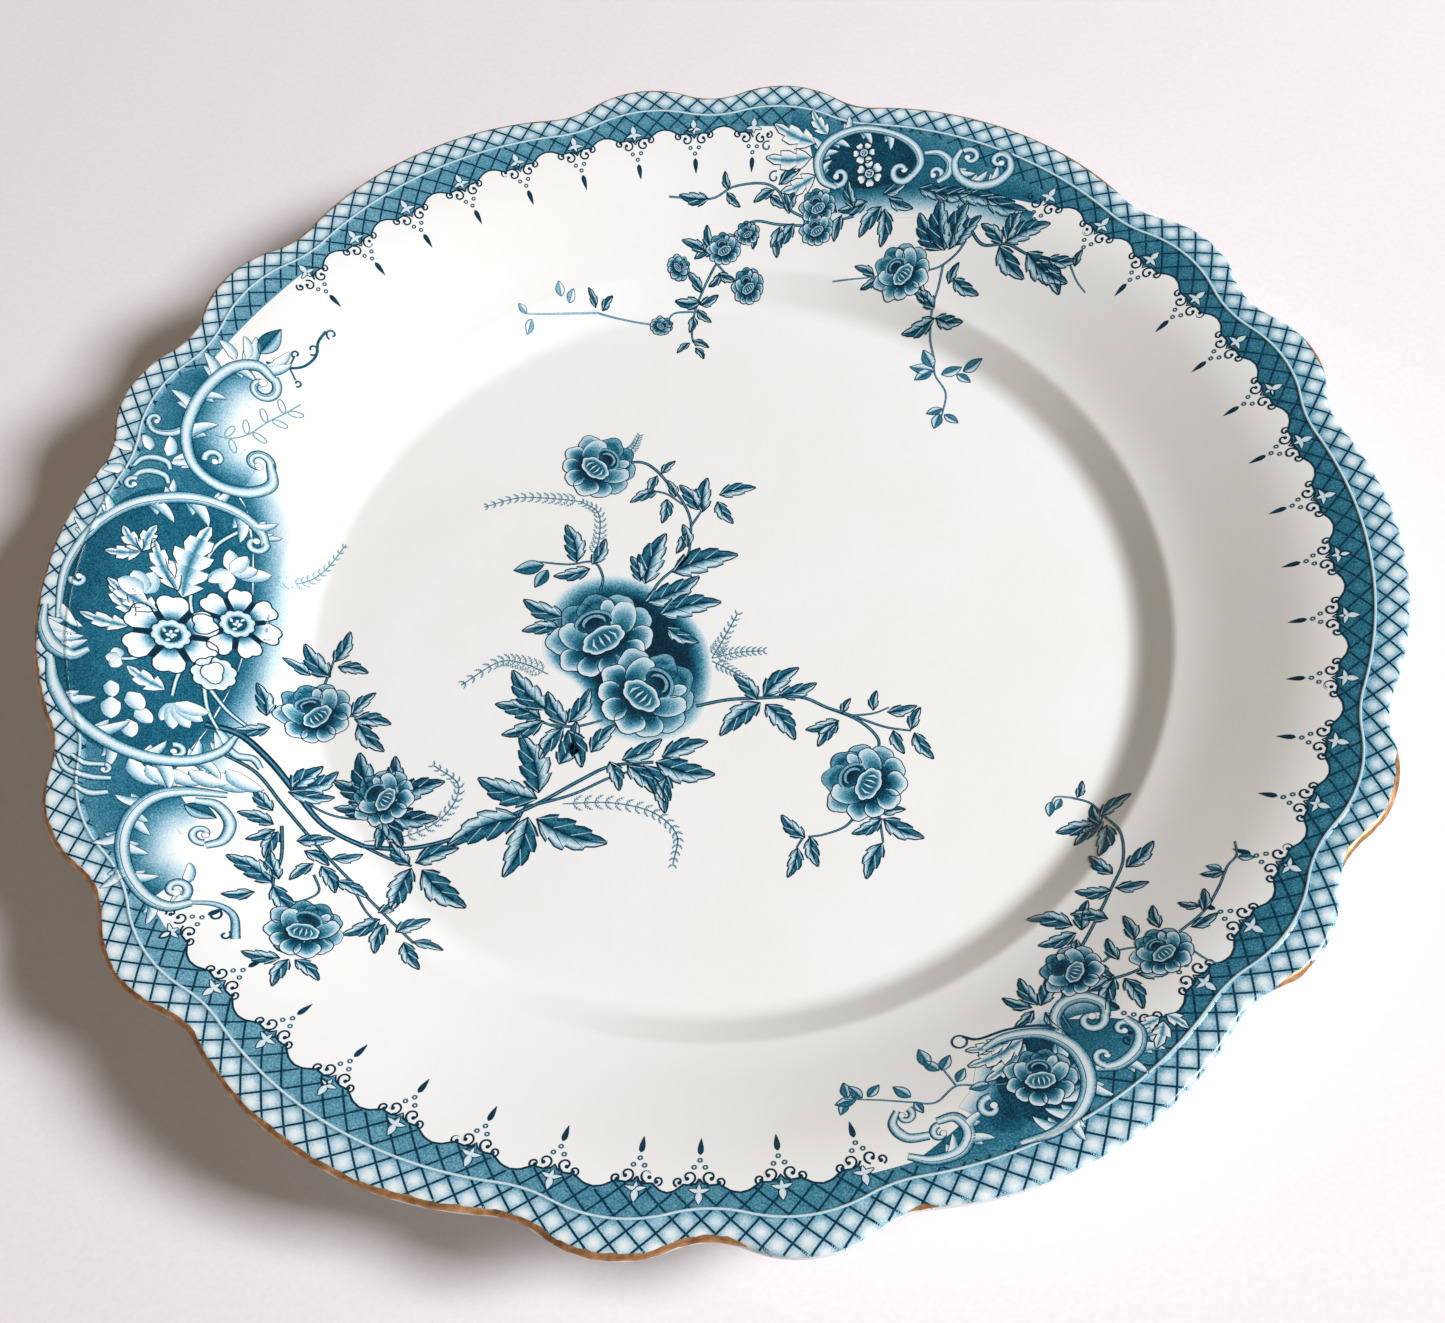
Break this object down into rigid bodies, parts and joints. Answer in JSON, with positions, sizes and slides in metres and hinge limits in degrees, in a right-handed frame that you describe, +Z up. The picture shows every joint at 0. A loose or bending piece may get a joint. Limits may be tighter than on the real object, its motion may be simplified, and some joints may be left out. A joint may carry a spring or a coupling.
{
  "type": "dinner plate",
  "caption": "Round dinner plate with a shaped edge, a raised line inside it, a sunken well, a foot ring, a printed border with panels, printed flower sprays and a gilt line.",
  "frame": {"origin": "on the table under the plate's centre, at the underside of the foot ring", "axes": "+Z up out of the plate's face; -X towards the middle of the large border panel, which is also the top of a wide lobe of the edge"},
  "size_m": [0.2588, 0.257, 0.0261],
  "materials": {
    "clay": "matt fired cream clay",
    "glaze": "clear gloss over white clay",
    "gilt": "worn gilding, satin",
    "ink": "blue printed ink under gloss glaze"
  },
  "bodies": {
    "root": {"earthenware_body": "clay", "glaze_face_and_rim": "glaze", "glaze_inside_foot": "glaze", "gilt_edge_line": "gilt", "border_print": "ink", "left_panel_print": "ink", "top_panel_print": "ink", "lower_panel_print": "ink", "centre_spray_print": "ink", "left_spray_print": "ink", "top_spray_print": "ink", "lower_spray_print": "ink"}
  },
  "joints": []
}
